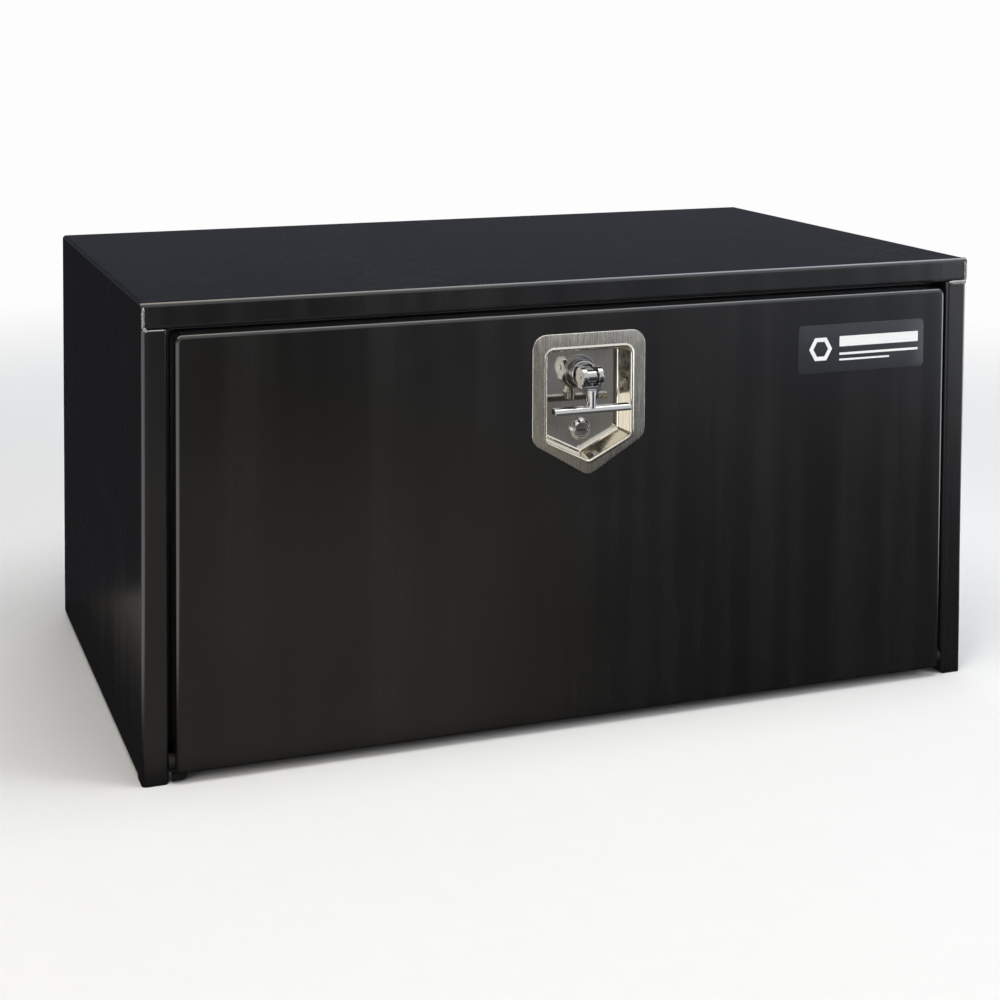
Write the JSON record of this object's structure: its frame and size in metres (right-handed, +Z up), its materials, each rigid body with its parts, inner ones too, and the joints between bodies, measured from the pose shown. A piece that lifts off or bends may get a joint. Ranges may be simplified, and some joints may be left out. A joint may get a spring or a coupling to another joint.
{
  "type": "truck tool box",
  "caption": "Steel underbody truck tool box with a drop-down front door, folding door stays, a rubber seal and a recessed folding T-handle latch with a key lock.",
  "frame": {"origin": "centre of the floor's underside, half-way between the sides and between the frame's front face and the back", "axes": "+X across the box, to the right when facing the door; the door faces -Y; +Z up"},
  "size_m": [0.9144, 0.4737, 0.4572],
  "materials": {
    "body_paint": "semi-gloss black powder coat",
    "door_paint": "semi-gloss black powder coat",
    "stainless": "polished and brushed stainless sheet",
    "cast_stainless": "polished casting",
    "zinc_steel": "bright zinc plate",
    "seal_rubber": "matte extruded rubber",
    "nylon": "black nylon",
    "plate": "satin dark grey plate"
  },
  "bodies": {
    "cabinet": {"left_side": "body_paint", "right_side": "body_paint", "top_panel": "body_paint", "back_panel": "body_paint", "floor_panel": "body_paint", "drip_rail": "body_paint", "weld_beads": "body_paint", "strike_plate": "zinc_steel", "hinge_rod": "stainless", "rod_clips": "zinc_steel", "hinge_bushes": "nylon", "frame_stay_brackets": "body_paint", "frame_stay_pivots": "zinc_steel"},
    "door": {"door_skin": "door_paint", "door_stiffener": "door_paint", "door_knuckles": "door_paint", "door_seal": "seal_rubber", "stop_tab": "door_paint", "name_plate": "plate", "door_stay_brackets": "door_paint", "door_stay_pivots": "zinc_steel", "latch_dish": "stainless", "dish_gasket": "seal_rubber", "dish_studs": "zinc_steel", "backing_plate": "zinc_steel", "dish_nuts": "zinc_steel", "hub_bushing": "stainless", "bushing_nut": "zinc_steel", "lock_housing": "stainless", "lock_nut": "zinc_steel"},
    "latch_spindle": {"spindle": "cast_stainless", "latch_cam": "zinc_steel", "cam_washer": "zinc_steel", "cam_nut": "zinc_steel"},
    "handle": {"t_handle": "cast_stainless", "pivot_pin": "stainless"},
    "key_lock": {"lock_plug": "stainless", "lock_tongue": "zinc_steel", "tongue_screw": "zinc_steel"},
    "left_upper_link": {"left_upper_stay": "zinc_steel", "left_stay_rivet": "zinc_steel"},
    "left_lower_link": {"left_lower_stay": "zinc_steel"},
    "right_upper_link": {"right_upper_stay": "zinc_steel", "right_stay_rivet": "zinc_steel"},
    "right_lower_link": {"right_lower_stay": "zinc_steel"}
  },
  "joints": [
    {"name": "door_swing", "type": "hinge", "parent": "cabinet", "child": "door", "pos_m": [0, -0.222, 0.015], "axis": [1, 0, 0], "range_deg": [0, 90]},
    {"name": "handle_turn", "type": "hinge", "parent": "door", "child": "latch_spindle", "pos_m": [0, -0.2236, 0.356], "axis": [0, -1, 0], "range_deg": [0, 90]},
    {"name": "handle_fold", "type": "hinge", "parent": "latch_spindle", "child": "handle", "pos_m": [0, -0.2356, 0.356], "axis": [-1, 0, 0], "range_deg": [0, 90]},
    {"name": "lock_turn", "type": "hinge", "parent": "door", "child": "key_lock", "pos_m": [0, -0.2193, 0.2975], "axis": [0, -1, 0], "range_deg": [0, 90]},
    {"name": "left_upper_stay_swing", "type": "hinge", "parent": "cabinet", "child": "left_upper_link", "pos_m": [-0.398, -0.188, 0.33], "axis": [1, 0, 0], "range_deg": [-48.49, 0]},
    {"name": "left_lower_stay_swing", "type": "hinge", "parent": "door", "child": "left_lower_link", "pos_m": [-0.394, -0.2, 0.33], "axis": [1, 0, 0], "range_deg": [0, 38.52]},
    {"name": "right_upper_stay_swing", "type": "hinge", "parent": "cabinet", "child": "right_upper_link", "pos_m": [0.398, -0.188, 0.33], "axis": [1, 0, 0], "range_deg": [-48.49, 0]},
    {"name": "right_lower_stay_swing", "type": "hinge", "parent": "door", "child": "right_lower_link", "pos_m": [0.394, -0.2, 0.33], "axis": [1, 0, 0], "range_deg": [0, 38.52]}
  ],
  "couplings": [
    {"joint": "left_upper_stay_swing", "follows": "door_swing", "ratio": -0.53862},
    {"joint": "left_lower_stay_swing", "follows": "door_swing", "ratio": 0.42784},
    {"joint": "right_upper_stay_swing", "follows": "door_swing", "ratio": -0.53862},
    {"joint": "right_lower_stay_swing", "follows": "door_swing", "ratio": 0.42784}
  ]
}
